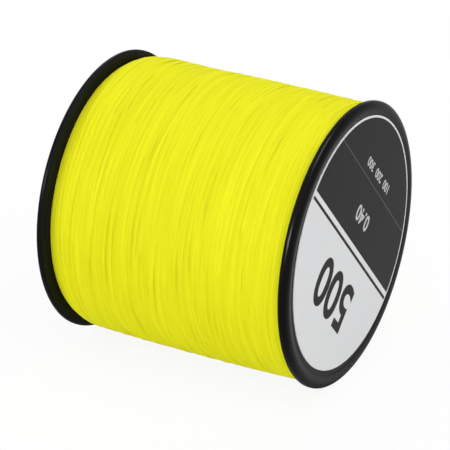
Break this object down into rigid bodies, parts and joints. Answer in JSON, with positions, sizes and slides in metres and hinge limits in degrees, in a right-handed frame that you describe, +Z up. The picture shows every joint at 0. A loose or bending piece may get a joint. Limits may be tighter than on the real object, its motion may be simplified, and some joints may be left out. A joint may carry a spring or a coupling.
{
  "type": "fishing line spool",
  "caption": "Round plastic spool of two pushed-together halves with a label on one flange and braided fishing line wound almost to the rims.",
  "frame": {"origin": "on the spool's axis at mid-width, which is the middle of its box", "axes": "+Z up as the spool lies on its rims, +Y along the axis out of the rear face, so the labelled front faces -Y"},
  "size_m": [0.065, 0.0622, 0.065],
  "materials": {
    "black_plastic": "gloss",
    "label_film": "satin",
    "braided_line": "satin",
    "tape_film": "satin"
  },
  "bodies": {
    "root": {"front_half": "black_plastic", "rear_half": "black_plastic", "front_label": "label_film", "line_core": "braided_line", "line_winding": "braided_line", "start_tape": "tape_film"}
  },
  "joints": []
}
